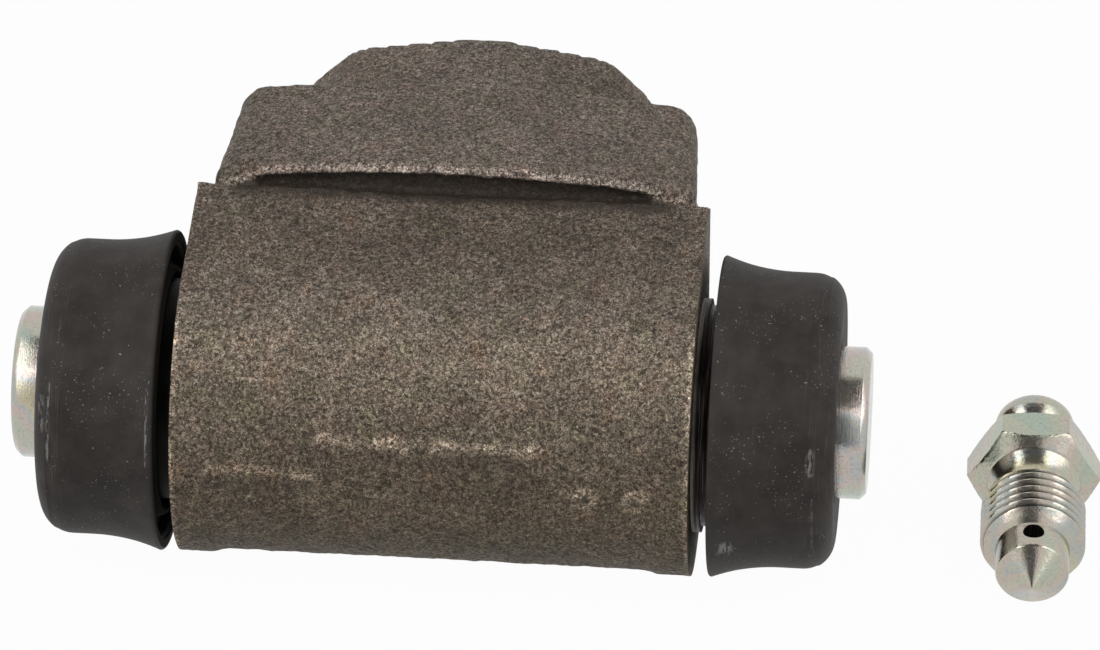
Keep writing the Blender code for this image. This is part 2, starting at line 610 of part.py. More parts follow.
def make_screw(look, carrier):
    """The screw lies on a hexagon flat and its thread's first turn, with its point towards -Y."""
    flat_r = SCREW_HEX_FLATS / 2
    flat_at = SCREW_HEX_START + SCREW_NIPPLE_FILLET
    tilt = math.asin((flat_r - SCREW_THREAD_R) / (flat_at - SCREW_THREAD_START))
    place = bpy.data.objects.new("bleed_screw_place", None)
    bpy.context.scene.collection.objects.link(place)
    place.parent = carrier
    place.rotation_euler = (0.0, -tilt, math.radians(90) + SCREW_YAW)
    point_z = BASE_Z + flat_r * math.cos(tilt) - flat_at * math.sin(tilt)
    place.location = (SCREW_X, SCREW_POINT_Y, point_z)
    screw = add_object("bleed_screw", turned(screw_profile(), SMALL_SEGMENTS), look, place)
    nut = add_object("hexagon_helper", hexagon(), None, place)
    combine(nut, add_object("hexagon_chamfer_helper", hexagon_chamfer(), None, place), "INTERSECT")
    combine(screw, nut, "UNION")
    end = SCREW_LENGTH + CUTTER_OVER
    bore = [(SCREW_CROSS_HOLE_AT, 0.0), (SCREW_CROSS_HOLE_AT, SCREW_BORE_R), (end, SCREW_BORE_R), (end, 0.0)]
    combine(screw, add_object("screw_bore_helper", turned(bore, HOLE_SEGMENTS), None, place), "DIFFERENCE")
    reach = SCREW_NOSE_R + CUTTER_OVER
    across = [(-reach, 0.0), (-reach, SCREW_CROSS_HOLE_R), (reach, SCREW_CROSS_HOLE_R), (reach, 0.0)]
    hole = turned(across, HOLE_SEGMENTS)
    bmesh.ops.rotate(hole, verts=hole.verts, cent=(0, 0, 0), matrix=Matrix.Rotation(math.radians(90), 3, "Y"))
    bmesh.ops.translate(hole, verts=hole.verts, vec=(SCREW_CROSS_HOLE_AT, 0, 0))
    combine(screw, add_object("cross_hole_helper", hole, None, place), "DIFFERENCE")


def make_carrier(name, parent, location):
    empty = bpy.data.objects.new(name, None)
    bpy.context.scene.collection.objects.link(empty)
    empty.parent = parent
    empty.location = location
    return empty


def main():
    for old in list(bpy.data.objects):
        bpy.data.objects.remove(old, do_unlink=True)
    iron = material("cast_iron", (0.102, 0.084, 0.069), 0.75, 0.35)
    zinc = material("zinc_plate", (0.56, 0.55, 0.52), 0.32, 1.0)
    rubber = material("boot_rubber", (0.032, 0.029, 0.027), 0.7, 0.0)
    seal_rubber = material("seal_rubber", (0.02, 0.02, 0.02), 0.5, 0.0)
    steel = material("spring_steel", (0.42, 0.42, 0.43), 0.35, 1.0)

    axis = make_carrier("bore_axis", None, (0.0, -BOSS_FACE_Y, 0.0))
    slides = [make_carrier(f"{side}_slide", axis, (0.0, 0.0, 0.0)) for side in ("left", "right")]

    make_housing(iron, axis)
    make_spring(steel, axis)
    mirrored_pair("cup_expander", expander_profile(), steel, slides, INNER_SEGMENTS)
    mirrored_pair("cup_seal", seal_profile(), seal_rubber, slides, INNER_SEGMENTS)
    mirrored_pair("piston", piston_profile(), zinc, slides)
    mirrored_pair("dust_boot", boot_profile(), rubber, (axis, axis))
    make_screw(zinc, axis)


main()
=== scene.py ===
"""The wheel cylinder of the photograph: cast body, boots, plated pistons, and the bleed screw beside it."""

import math
import bmesh
import bpy
import numpy as np
from mathutils import Matrix, Vector, noise
from mathutils.bvhtree import BVHTree


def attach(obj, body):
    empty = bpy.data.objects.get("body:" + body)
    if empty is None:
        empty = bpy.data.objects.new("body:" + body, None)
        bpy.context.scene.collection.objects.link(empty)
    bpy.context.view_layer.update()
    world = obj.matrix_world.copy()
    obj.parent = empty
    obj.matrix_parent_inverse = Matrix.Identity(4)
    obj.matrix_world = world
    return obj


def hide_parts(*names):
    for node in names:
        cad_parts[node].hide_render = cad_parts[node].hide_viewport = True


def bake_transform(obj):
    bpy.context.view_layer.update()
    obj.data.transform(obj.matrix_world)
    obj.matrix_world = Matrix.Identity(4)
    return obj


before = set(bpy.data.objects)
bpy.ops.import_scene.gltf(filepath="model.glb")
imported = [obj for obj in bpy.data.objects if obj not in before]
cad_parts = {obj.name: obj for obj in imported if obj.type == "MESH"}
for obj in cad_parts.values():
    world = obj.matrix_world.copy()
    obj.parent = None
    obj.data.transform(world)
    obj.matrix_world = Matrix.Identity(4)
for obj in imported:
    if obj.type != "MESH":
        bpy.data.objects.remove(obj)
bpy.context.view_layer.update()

# Places shared with the part
AXIS_Y = -0.035
BASE_Z = -0.0152
HALF_BODY = 0.02425
BARREL_R = 0.01485
LIP_R = 0.0152
BORE_R = 0.0095
SEAT_R = 0.011
SEAT_GROOVE_R = 0.0104
SEAT_GROOVE = (0.02485, 0.02705)
BORE_END = 0.02845
LEDGE_Y = -0.0243
LEDGE_LOW_Z = 0.0185
LEDGE_DROP = 0.0017
NECK_PEAK = (-0.0256, 0.0171)
PAD_TOP_Z = 0.0197
PAD_BACK_Y = -0.0092
STUB_R = 0.00715
STUB_END = 0.0401

# Camera of the photograph, which is 1100 by 650 pixels
FRAME_WIDTH_PX = 1100
FRAME_MIDDLE_PX = (550, 325)
SENSOR_MM = 36.0
AZIMUTH = math.radians(5.1)
ELEVATION = math.radians(34.0)
DISTANCE = 0.70
PX_PER_M = 10625
AXIS_MIDDLE_PX = (443.8, 402.0)

# Studio: where lights and cards aim, and how strongly the white surroundings light the part
MIDDLE_X = 0.005
WORLD_FILL = 0.22

# Casting skin: remesh size, lumps, pebbles, a full hollow, smoothing passes, and the cut off each end
SKIN_VOXEL = 0.00034
LUMP_SIZE = 0.0034
LUMP_HEIGHT = 0.00010
PEBBLE_SIZE = 0.0011
PEBBLE_HEIGHT = 0.00007
HOLLOW_DEPTH = 0.00003
EDGE_PASSES = 7
CREST_PASSES = 16
FACE_CUT = 0.00018

# Low cast plates: left, right, top in degrees, slope, fade in degrees, height, paleness of the ridge
PLATES = (
    (-0.0102, 0.0103, 19.0, 0.0, 24.0, 0.00040, 1.05),
    (-0.0206, -0.0108, 5.6, -0.06, 12.0, 0.00034, 1.0),
)
# Small cast pips beside them: x, degrees above the horizontal, size, height, paleness of the rim
PIPS = (
    (0.0146, 0.7, 0.0010, 0.00036, 1.5),
    (0.0192, 0.4, 0.0011, 0.00036, 1.6),
    (-0.0196, -1.5, 0.0007, 0.00022, 0.7),
    (-0.0171, -3.5, 0.0008, 0.00022, 0.7),
    (-0.0142, -2.0, 0.0007, 0.0002, 0.7),
)

# Holes cut into the casting after its skin: bleed port, inlet port and two bolt holes
PORT_R = 0.0045
PORT_DEPTH = 0.0125
PORT_CHAMFER = 0.0006
PASSAGE_R = 0.00125
BLEED_PORT_Z = 0.0078
INLET_PORT_Z = -0.0070
BOLT_HOLE_R = 0.0025
BOLT_HOLE_DEPTH = 0.0125
BOLT_SPACING = 0.0236
BOLT_Z = 0.0025

# Boots: end face, sag and lean of the left one, and scuffs as side, x, width, lowest and highest angle
BOOT_FACE = 0.0374
BOOT_SAG = 0.0002
BOOT_LEAN = 0.00035
BOOT_SCUFFS = (
    (-1, 0.02625, 0.00016, 7, 33),
    (-1, 0.0359, 0.00020, 4, 34),
    (-1, 0.0366, 0.00030, 16, 28),
    (1, 0.0275, 0.00090, -26, -20),
    (1, 0.0352, 0.00040, 14, 22),
    (1, 0.0356, 0.00012, -24, 2),
)

# Bleed screw, measured along it from the tip; plain lengths are given as x and radius
SCREW_SEGMENTS = 144
SCREW_R = 0.00495
THREAD_SPAN = (0.0065, 0.0119)
THREAD_PITCH = 0.001
THREAD_DEPTH = 0.00062
HALF_FLATS = 0.0055
HEX_SPAN = (0.0155, 0.0198)
HEX_REST_X = 0.0161
SCREW_PLACE = (0.05605, AXIS_Y - 0.0103)
SCREW_TURN = math.radians(91.5)
CROSS_HOLE_X = 0.0043
DRILLED_R = 0.0012
CROSS_HOLE_R = 0.001
SCREW_TIP = ((0.0, 0.00002), (0.0022, 0.00335), (0.0024, 0.00345), (0.0053, 0.00345), (0.0055, 0.0035))
SCREW_NECK = (
    (0.0127, 0.0036),
    (0.0132, 0.0036),
    (0.0138, 0.0037),
    (0.0144, 0.0039),
    (0.0150, 0.0042),
    (0.01549, 0.00445),
)
SCREW_NIPPLE = (
    (0.0199, 0.0037),
    (0.0201, 0.0034),
    (0.0204, 0.0030),
    (0.0214, 0.0030),
    (0.0219, 0.0031),
    (0.0222, 0.00325),
    (0.0228, 0.0035),
    (0.0234, 0.00375),
    (0.0237, 0.00382),
    (0.0242, 0.00382),
    (0.0246, 0.00374),
    (0.0250, 0.0035),
    (0.0252, 0.0032),
    (0.0253, 0.0029),
)


# Objects


def link(name, mesh, look=None):
    made = bpy.data.objects.new(name, mesh)
    bpy.context.scene.collection.objects.link(made)
    if look:
        mesh.materials.clear()
        mesh.materials.append(look)
    return made


def settle(obj):
    """Applies the object's modifiers to its mesh."""
    graph = bpy.context.evaluated_depsgraph_get()
    mesh = bpy.data.meshes.new_from_object(obj.evaluated_get(graph))
    obj.modifiers.clear()
    obj.data = mesh


def points_of(mesh):
    co = np.empty(len(mesh.vertices) * 3)
    mesh.vertices.foreach_get("co", co)
    return co.reshape(-1, 3)


def put_points(mesh, co):
    mesh.vertices.foreach_set("co", co.astype(np.float32).ravel())
    mesh.update()


def normals_of(mesh):
    values = np.empty(len(mesh.vertices) * 3)
    mesh.vertex_normals.foreach_get("vector", values)
    return values.reshape(-1, 3)


def keep_values(mesh, **layers):
    """Stores numbers from 0 to 1 at the points of a mesh, for its material to read."""
    for name, values in layers.items():
        layer = mesh.attributes.new(name, "FLOAT", "POINT")
        layer.data.foreach_set("value", np.clip(values, 0, 1).astype(np.float32))


def edges_of(mesh):
    pairs = np.empty(len(mesh.edges) * 2, int)
    mesh.edges.foreach_get("vertices", pairs)
    return pairs.reshape(-1, 2)


def neighbour_mean(co, pairs):
    total = np.zeros_like(co)
    count = np.zeros(len(co))
    for a, b in ((0, 1), (1, 0)):
        np.add.at(total, pairs[:, a], co[pairs[:, b]])
        np.add.at(count, pairs[:, a], 1)
    return total / np.maximum(count, 1)[:, None]


def spread(values, pairs, steps):
    """A value averaged over this many steps of neighbours."""
    for _ in range(steps):
        values = neighbour_mean(values[:, None], pairs)[:, 0]
    return values


def smoothstep(low, high, value):
    share = np.clip((value - low) / (high - low), 0, 1)
    return share * share * (3 - 2 * share)


def noise_at(co, size, seed=0.0):
    """Smooth noise in -1..1 at each point, with features of about this size."""
    shift = Vector((seed * 7.3, seed * 3.1, seed * 5.7))
    return np.array([noise.noise(Vector(p) / size + shift) for p in co])


def grid_surface(name, rings, look=None, closed=False, sharp=30):
    """A surface through rings of points; closed joins the last to the first, else poles close the ends."""
    rings = [np.asarray(ring) for ring in rings]
    count = len(rings[0])
    verts = np.concatenate(rings)
    faces = []
    spans = len(rings) if closed else len(rings) - 1
    around = np.arange(count)
    ahead = (around + 1) % count
    for k in range(spans):
        near = k * count
        far = ((k + 1) % len(rings)) * count
        faces += np.stack([near + around, near + ahead, far + ahead, far + around], 1).tolist()
    if not closed:
        poles = [rings[0].mean(0), rings[-1].mean(0)]
        first = len(verts)
        verts = np.concatenate([verts, poles])
        last = (len(rings) - 1) * count
        faces += [(first, int(b), int(a)) for a, b in zip(around, ahead)]
        faces += [(first + 1, int(last + a), int(last + b)) for a, b in zip(around, ahead)]
    mesh = bpy.data.meshes.new(name)
    mesh.from_pydata(verts.tolist(), [], faces)
    bm = bmesh.new()
    bm.from_mesh(mesh)
    bmesh.ops.recalc_face_normals(bm, faces=bm.faces)
    bm.to_mesh(mesh)
    bm.free()
    mesh.shade_smooth()
    mesh.set_sharp_from_angle(angle=math.radians(sharp))
    return link(name, mesh, look)


def turned_rings(profile, segments, wobble=None):
    """Rings about the bore axis from (x, radius) pairs; wobble adds to the radius at (x, angle)."""
    angles = np.linspace(0, math.tau, segments, endpoint=False)
    rings = []
    for x, radius in profile:
        r = np.full(segments, radius) + (wobble(x, angles) if wobble else 0.0)
        rings.append(np.stack([np.full(segments, x), AXIS_Y + r * np.cos(angles), r * np.sin(angles)], 1))
    return rings


def arc(centre, radius, start, end, steps):
    """Points of an arc, with its angles in degrees."""
    angles = np.radians(np.linspace(start, end, steps + 1))
    return [(centre[0] + radius * math.cos(a), centre[1] + radius * math.sin(a)) for a in angles]


def sampled(points, step):
    """The same line with points no further apart than this."""
    out = []
    for (x0, y0), (x1, y1) in zip(points, points[1:]):
        parts = max(1, math.ceil(math.hypot(x1 - x0, y1 - y0) / step))
        out += [(x0 + (x1 - x0) * k / parts, y0 + (y1 - y0) * k / parts) for k in range(parts)]
    return out + [points[-1]]


# Materials


class Look:
    """A procedural material, put together node by node."""

    def __init__(self, name, **constants):
        self.material = bpy.data.materials.new(name)
        self.material.use_nodes = True
        self.tree = self.material.node_tree
        self.shader = self.tree.nodes["Principled BSDF"]
        self.place = self.node("ShaderNodeTexCoord").outputs["Object"]
        for socket, value in constants.items():
            self.shader.inputs[socket.replace("_", " ")].default_value = value

    def node(self, kind, **settings):
        made = self.tree.nodes.new(kind)
        for key, value in settings.items():
            setattr(made, key, value)
        return made

    def put(self, socket, value):
        if isinstance(value, bpy.types.NodeSocket):
            self.tree.links.new(value, socket)
        elif value is not None:
            socket.default_value = value

    def to_shader(self, socket, value):
        self.put(self.shader.inputs[socket], value)

    def math(self, operation, a, b=None):
        made = self.node("ShaderNodeMath", operation=operation)
        self.put(made.inputs[0], a)
        self.put(made.inputs[1], b)
        return made.outputs[0]

    def stretched(self, scale):
        made = self.node("ShaderNodeMapping")
        self.put(made.inputs["Vector"], self.place)
        made.inputs["Scale"].default_value = scale
        return made.outputs[0]

    def noise(self, size, detail=2.0, roughness=0.5, vector=None, distortion=0.0):
        made = self.node("ShaderNodeTexNoise")
        self.put(made.inputs["Vector"], vector or self.place)
        made.inputs["Scale"].default_value = 1 / size
        made.inputs["Detail"].default_value = detail
        made.inputs["Roughness"].default_value = roughness
        made.inputs["Distortion"].default_value = distortion
        return made.outputs["Fac"]

    def range(self, value, low, high, to_low=0.0, to_high=1.0):
        made = self.node("ShaderNodeMapRange", interpolation_type="SMOOTHSTEP")
        self.put(made.inputs["Value"], value)
        made.inputs["From Min"].default_value = low
        made.inputs["From Max"].default_value = high
        made.inputs["To Min"].default_value = to_low
        made.inputs["To Max"].default_value = to_high
        return made.outputs[0]

    def ramp(self, factor, stops):
        made = self.node("ShaderNodeValToRGB")
        self.put(made.inputs["Fac"], factor)
        elements = made.color_ramp.elements
        while len(elements) < len(stops):
            elements.new(0.5)
        for element, (at, colour) in zip(elements, stops):
            element.position = at
            element.color = (*colour, 1.0)
        return made.outputs["Color"]

    def mix(self, factor, a, b, blend="MIX"):
        made = self.node("ShaderNodeMix", data_type="RGBA", blend_type=blend)
        self.put(made.inputs["Factor"], factor)
        for socket, value in ((made.inputs[6], a), (made.inputs[7], b)):
            self.put(socket, (*value, 1.0) if isinstance(value, tuple) else value)
        return made.outputs[2]

    def attribute(self, name):
        return self.node("ShaderNodeAttribute", attribute_name=name).outputs["Fac"]

    def grey(self, value):
        made = self.node("ShaderNodeCombineColor")
        for socket in made.inputs:
            self.put(socket, value)
        return made.outputs[0]

    def axis(self, which):
        made = self.node("ShaderNodeSeparateXYZ")
        self.put(made.inputs[0], self.place)
        return made.outputs[which]

    def bump(self, height, distance, strength=1.0, after=None):
        made = self.node("ShaderNodeBump")
        self.put(made.inputs["Height"], height)
        made.inputs["Distance"].default_value = distance
        made.inputs["Strength"].default_value = strength
        self.put(made.inputs["Normal"], after)
        self.to_shader("Normal", made.outputs[0])
        return made.outputs[0]


def cast_iron_look():
    """Sand-cast iron: dark pits and short pale strands, lighter on worn edges and under painted highlights,
    painted light and shade by height, and black painted shade in hollows and under the ledge.
    """
    look = Look("cast_iron_skin", Specular_IOR_Level=0.22)
    grain = look.noise(0.00034, 2.5, 0.68, distortion=0.5)
    fine = look.noise(0.00014, 1.5, 0.5)
    both = look.math("ADD", look.math("MULTIPLY", grain, 0.62), look.math("MULTIPLY", fine, 0.38))
    wavy = look.noise(0.00056, 2.0, 0.5, distortion=1.6)
    strands = look.range(look.math("ABSOLUTE", look.math("SUBTRACT", wavy, 0.5)), 0.034, 0.006)
    colour = look.ramp(
        both,
        [
            (0.36, (0.026, 0.020, 0.016)),
            (0.45, (0.074, 0.060, 0.048)),
            (0.52, (0.130, 0.107, 0.085)),
            (0.59, (0.215, 0.179, 0.144)),
            (0.67, (0.42, 0.36, 0.30)),
        ],
    )
    lit = look.math("MULTIPLY", strands, look.range(both, 0.43, 0.53))
    colour = look.mix(lit, colour, (0.45, 0.415, 0.37))
    tone = look.range(look.noise(0.0011, 3.0, 0.6), 0.34, 0.66, 0.80, 1.18)
    broad = look.range(look.noise(0.006, 2.0, 0.5), 0.35, 0.65, 0.9, 1.12)
    colour = look.mix(1.0, colour, look.grey(look.math("MULTIPLY", tone, broad)), "MULTIPLY")
    hue = look.ramp(
        look.noise(0.0026, 3.0, 0.6),
        [
            (0.36, (0.94, 0.95, 0.86)),
            (0.48, (1.0, 0.99, 0.97)),
            (0.62, (1.05, 0.97, 0.95)),
            (0.72, (1.08, 0.95, 0.84)),
        ],
    )
    colour = look.mix(1.0, colour, hue, "MULTIPLY")
    height = look.math("MULTIPLY", look.math("ADD", look.axis(2), -BASE_Z), 1 / (PAD_TOP_Z - BASE_Z))
    # Painted light and shade by height from the floor to the top of the pad: brightest on the upper barrel,
    # dark low on the barrel and darkest at the neck under the ledge
    painted_light_by_height = look.ramp(
        height,
        [
            (0.00, (0.365, 0.345, 0.295)),
            (0.26, (0.362, 0.342, 0.294)),
            (0.46, (0.364, 0.340, 0.293)),
            (0.60, (0.422, 0.402, 0.364)),
            (0.77, (0.610, 0.590, 0.545)),
            (0.84, (0.510, 0.500, 0.485)),
            (0.89, (0.345, 0.330, 0.315)),
            (0.94, (0.420, 0.410, 0.405)),
            (0.98, (0.442, 0.432, 0.442)),
        ],
    )
    colour = look.mix(1.0, colour, painted_light_by_height, "MULTIPLY")
    # The ramp holds half of each factor
    colour = look.mix(1.0, colour, (2.0, 2.0, 2.0), "MULTIPLY")
    # Lighter on worn convex edges and the plates' pale ridges, and painted highlights along the ledge's edge,
    # the lower end rims and the pad's back edge
    wear_and_highlight_amount = look.range(look.attribute("rubbed"), 0.12, 0.95)
    uneven_wear_and_highlight = look.math("MULTIPLY", wear_and_highlight_amount, look.range(grain, 0.40, 0.56, 0.35, 1.0))
    colour = look.mix(uneven_wear_and_highlight, colour, (2.25, 2.27, 2.35), "MULTIPLY")
    # Painted shade, near black, in hollows, in the groove under the ledge, below the plates and over the pips
    sheltered = look.range(look.attribute("sheltered"), 0.05, 0.9)
    colour = look.mix(look.math("MULTIPLY", sheltered, 0.80), colour, (0.029, 0.022, 0.017))
    look.to_shader("Base Color", colour)
    look.to_shader("Roughness", look.range(grain, 0.3, 0.7, 0.72, 0.5))
    look.bump(look.math("ADD", both, look.math("MULTIPLY", strands, 0.12)), 0.00026, 1.0)
    return look.material


def machined_iron_look():
    """Iron as a drill or a lathe leaves it, with fine marks; the seats outside the body carry near-black
    painted shade with pale painted highlights on their turned rings, near black all over on the left.
    """
    look = Look("machined_iron", Metallic=0.85)
    marks = look.noise(0.0003, 2.0, 0.5, look.stretched((3.0, 0.4, 0.4)))
    colour = look.ramp(marks, [(0.3, (0.13, 0.112, 0.098)), (0.7, (0.27, 0.24, 0.215))])
    outside = look.range(look.math("ABSOLUTE", look.axis(0)), HALF_BODY - 0.0001, HALF_BODY + 0.0002)
    turned = look.noise(0.0004, 3.0, 0.6, look.stretched((4.0, 0.05, 0.05)))
    # Painted shade on the seats beside the boots, with pale painted highlights on the turned rings
    painted_seat_shade = look.ramp(
        turned,
        [(0.42, (0.010, 0.007, 0.006)), (0.56, (0.030, 0.024, 0.022)), (0.66, (0.22, 0.19, 0.18))],
    )
    # Painted shade, near black, over the left seat
    painted_seat_shade = look.mix(look.range(look.axis(0), 0.001, -0.001), painted_seat_shade, (0.010, 0.009, 0.008))
    look.to_shader("Base Color", look.mix(outside, colour, painted_seat_shade))
    look.to_shader("Roughness", look.range(marks, 0.3, 0.7, 0.34, 0.5))
    look.bump(marks, 0.00003, 0.6)
    return look.material


def boot_look():
    """Matt black rubber with moulding marks, white dust and scuffed edges, and painted shade on its bead and
    inner side.
    """
    look = Look("boot_rubber_dusty", Specular_IOR_Level=0.2)
    mottle = look.noise(0.0026, 5.0, 0.6)
    colour = look.ramp(mottle, [(0.36, (0.0190, 0.0158, 0.0138)), (0.66, (0.0335, 0.0285, 0.0255))])
    clusters = look.range(look.noise(0.0045, 2.0, 0.5), 0.43, 0.60)
    dust = look.range(look.noise(0.00020, 1.0, 0.5), 0.685, 0.74)
    dusty = look.math("MULTIPLY", dust, look.math("MULTIPLY", clusters, 0.8))
    colour = look.mix(dusty, colour, (0.25, 0.245, 0.235))
    fluff = look.range(look.noise(0.00040, 2.5, 0.6), 0.715, 0.76)
    colour = look.mix(look.math("MULTIPLY", fluff, 0.75), colour, (0.33, 0.325, 0.32))
    lines = look.range(look.noise(0.0005, 2.0, 0.6, look.stretched((3.0, 0.12, 0.12))), 0.58, 0.70)
    lined = look.math("MULTIPLY", lines, look.range(look.attribute("corner"), 0.0, 1.0, 0.02, 0.22))
    colour = look.mix(lined, colour, (0.11, 0.105, 0.10))
    torn = look.range(look.noise(0.0006, 3.0, 0.7, look.stretched((2.4, 0.5, 0.5))), 0.46, 0.58)
    scuffed = look.math("MULTIPLY", torn, look.range(look.attribute("scuff"), 0.25, 0.9))
    colour = look.mix(look.math("MULTIPLY", scuffed, 0.7), colour, (0.24, 0.235, 0.225))
    # Painted shade on the bead, the rim's face towards the body and the inside near the bead
    colour = look.mix(look.attribute("hollow"), colour, (0.0270, 0.0235, 0.0200))
    look.to_shader("Base Color", colour)
    look.to_shader("Roughness", look.range(look.attribute("hollow"), 0.0, 1.0, 0.62, 0.95))
    look.bump(look.noise(0.0005, 3.0, 0.6), 0.00005, 0.5)
    return look.material


def zinc_look(name, tint_strength, brushed):
    """Bright zinc plate with faint pink, violet and green tints from its passivation, and painted shade in
    the roots of a thread.
    """
    look = Look(name, Metallic=1.0)
    tint = look.ramp(
        look.noise(0.0052, 2.0, 0.5, distortion=0.6),
        [
            (0.32, (0.44, 0.54, 0.49)),
            (0.42, (0.55, 0.55, 0.47)),
            (0.50, (0.61, 0.50, 0.47)),
            (0.58, (0.47, 0.50, 0.53)),
            (0.68, (0.60, 0.54, 0.38)),
        ],
    )
    colour = look.mix(tint_strength, (0.53, 0.51, 0.46), tint)
    colour = look.mix(1.0, colour, (0.84, 0.84, 0.81) if brushed else (0.82, 0.83, 0.76), "MULTIPLY")
    lines = look.noise(0.0006, 3.0, 0.65, look.stretched((6.0, 0.25, 0.25) if brushed else (1.5, 1.5, 1.5)))
    dull = look.noise(0.00028, 3.0, 0.7)
    colour = look.mix(look.range(lines, 0.40, 0.75, 0.0, 0.30), colour, (0.30, 0.30, 0.29))
    colour = look.mix(look.range(dull, 0.50, 0.68, 0.0, 0.30), colour, (0.20, 0.20, 0.19))
    # Painted shade in the roots of the screw's thread
    colour = look.mix(look.attribute("root"), colour, (0.035, 0.033, 0.030))
    look.to_shader("Base Color", colour)
    look.to_shader("Roughness", look.range(dull, 0.3, 0.7, 0.10, 0.26))
    first = look.bump(lines, 0.00003, 0.4)
    look.bump(dull, 0.00003, 0.45, first)
    return look.material


def seal_look():
    look = Look("seal_rubber_smooth", Roughness=0.4)
    mottle = look.noise(0.002, 3.0, 0.5)
    look.to_shader("Base Color", look.ramp(mottle, [(0.3, (0.012, 0.012, 0.012)), (0.7, (0.03, 0.03, 0.03))]))
    look.bump(mottle, 0.00003, 0.4)
    return look.material


def spring_look():
    look = Look("spring_steel_drawn", Metallic=1.0)
    marks = look.noise(0.0008, 3.0, 0.6)
    look.to_shader("Base Color", look.ramp(marks, [(0.3, (0.28, 0.28, 0.29)), (0.7, (0.5, 0.5, 0.5))]))
    look.to_shader("Roughness", look.range(marks, 0.3, 0.7, 0.25, 0.42))
    look.bump(marks, 0.00002, 0.4)
    return look.material


def floor_look():
    """White paper: grey to light that bounces, white with a faint shadow to the camera and in reflections."""
    look = Look("white_floor", Base_Color=(0.5, 0.5, 0.5, 1.0), Roughness=0.9)
    path = look.node("ShaderNodeLightPath")
    seen = look.math("MAXIMUM", path.outputs["Is Camera Ray"], path.outputs["Is Glossy Ray"])
    glow = look.node("ShaderNodeEmission")
    glow.inputs["Strength"].default_value = 1.0
    mixer = look.node("ShaderNodeMixShader")
    look.put(mixer.inputs[0], look.math("MULTIPLY", seen, 0.97))
    look.put(mixer.inputs[1], look.shader.outputs[0])
    look.put(mixer.inputs[2], glow.outputs[0])
    look.put(look.tree.nodes["Material Output"].inputs["Surface"], mixer.outputs[0])
    return look.material


# Casting


def cylinder_cutter(name, x, z, profile, segments=64):
    """A closed cutter turned about +Y, with depths measured in from the boss's end face at y = 0."""
    angles = np.linspace(0, math.tau, segments, endpoint=False)
    rings = []
    for depth, radius in profile:
        across, up = x + radius * np.cos(angles), z + radius * np.sin(angles)
        rings.append(np.stack([across, np.full(segments, -depth), up], 1))
    return grid_surface(name, rings)


def cast_marks(co):
    """Height, paleness and painted shade of the low raised plates and pips on the front of the barrel: the
    shade lies in a band below each plate and over each pip.
    """
    x, z = co[:, 0], co[:, 2]
    y = co[:, 1] - AXIS_Y
    degrees = np.degrees(np.arctan2(z, -y))
    from_axis = np.hypot(y, z)
    on_barrel = (from_axis < LIP_R + 0.0004) * (y < 0.002) * (from_axis > BARREL_R - 0.0006)
    ragged = noise_at(co, 0.0014, 4.0)
    patchy = 0.75 + 0.9 * noise_at(co, 0.0024, 7.0)
    height, paint, shade = np.zeros(len(co)), np.zeros(len(co)), np.zeros(len(co))
    for left, right, top, slope, fade, rise, pale in PLATES:
        edge = top + slope * (x - left) * 1000 + ragged * 1.4
        from_left = smoothstep(left - 0.0008, left + 0.0004, x)
        across = from_left * (1 - smoothstep(right - 0.0004, right + 0.0008, x))
        step = 1 - smoothstep(edge - 1.3, edge + 1.3, degrees)
        fall = smoothstep(edge - fade, edge - 2.0, degrees)
        height += rise * across * step * fall * (0.8 + 0.4 * ragged)
        ridge = np.exp(-(((degrees - edge + 0.2) / 2.5) ** 2))
        paint += pale * across * ridge * np.clip(patchy, 0.5, 1.0)
        # Painted shade in a band below each plate's ridge
        below = smoothstep(edge - 13, edge - 5, degrees) * (1 - smoothstep(edge - 5, edge - 2.5, degrees))
        shade += 0.38 * across * below
    for at, angle, size, rise, pale in PIPS:
        away = np.hypot(x - at, np.radians(degrees - angle) * BARREL_R) / size
        # Painted shade over each pip
        shade += 0.5 * np.exp(-(((away - 0.1) / 0.5) ** 2))
        height += rise * np.exp(-(away**2)) * (0.8 + 0.5 * ragged)
        paint += pale * np.exp(-(((away - 0.9) / 0.42) ** 2)) * (0.7 + ragged)
    return height * on_barrel, np.clip(paint, 0, 1) * on_barrel, shade * on_barrel


def ledge_low(x):
    """Height of the ledge's lower edge, which drops towards both ends."""
    return LEDGE_LOW_Z - LEDGE_DROP * (x / HALF_BODY) ** 2


def groove_end(side):
    """A wedge that makes the groove under the ledge shallower and lets it run out towards one end."""
    floor, mouth = 0.0156, 0.0169
    rings = []
    for x in np.linspace(0.0, 0.0222, 16):
        back = floor + (ledge_low(x) + 0.0004 - floor) * float(smoothstep(0.0160, 0.0222, x))
        section = [(-0.0230, 0.0138), (-0.0255, 0.0138), (-0.0255, mouth)]
        section += [(-0.0242, (back + mouth) / 2), (-0.0230, back)]
        rings.append([(side * x, y, z) for y, z in section])
    return grid_surface("groove_end", rings)


def snapped(co, mesh, reach):
    """The points moved onto the nearest place of a mesh, where that is within reach."""
    tree = BVHTree.FromPolygons([v.co for v in mesh.vertices], [p.vertices for p in mesh.polygons])
    out = co.copy()
    for k, point in enumerate(co):
        place, _, _, distance = tree.find_nearest(point)
        if distance is not None and distance < reach:
            out[k] = place
    return out


def seat_outline(side):
    """The turned seat of a boot with the groove for its bead, as (x, radius) from the barrel outwards."""
    near, far = SEAT_GROOVE
    line = [(HALF_BODY - 0.002, SEAT_R), (near, SEAT_R), (near, SEAT_GROOVE_R), (far, SEAT_GROOVE_R)]
    line += [(far, SEAT_R), (BORE_END - 0.0003, SEAT_R), (BORE_END, SEAT_R - 0.0003)]
    return [(side * x, r) for x, r in line]


